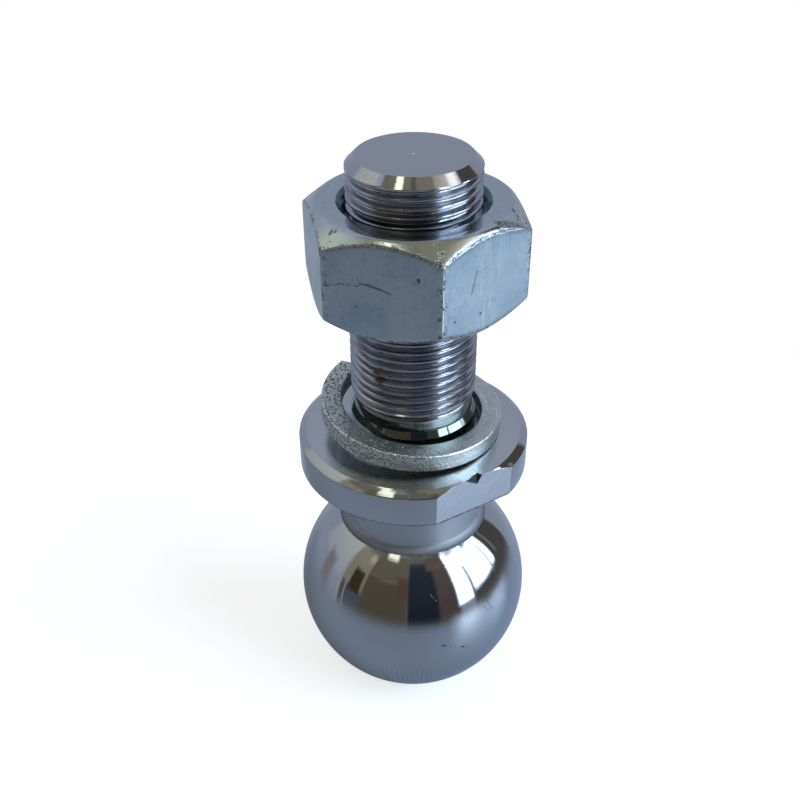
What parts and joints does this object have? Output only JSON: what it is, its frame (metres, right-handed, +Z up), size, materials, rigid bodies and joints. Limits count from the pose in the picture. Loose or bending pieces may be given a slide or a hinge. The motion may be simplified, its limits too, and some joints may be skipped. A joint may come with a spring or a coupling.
{
  "type": "tow ball",
  "caption": "Chromed tow ball on a short neck, with a flange that has two wrench flats, a threaded shank, a split spring washer and a hexagon nut.",
  "frame": {"origin": "centre of the small flat under the ball, on which the part stands", "axes": "+Z up along the shank, away from the ball; -Y faces the camera of the picture"},
  "size_m": [0.0508, 0.0508, 0.1251],
  "materials": {
    "chrome_plate": "polished",
    "washer_zinc": "satin",
    "nut_zinc": "satin"
  },
  "bodies": {
    "tow_ball": {"tow_ball": "chrome_plate", "spring_washer": "washer_zinc"},
    "hex_nut": {"hex_nut": "nut_zinc"}
  },
  "joints": [
    {"name": "nut_travel", "type": "slide", "parent": "tow_ball", "child": "hex_nut", "axis": [0, 0, 1], "range_m": [-0.01996, 0.03991]}
  ]
}
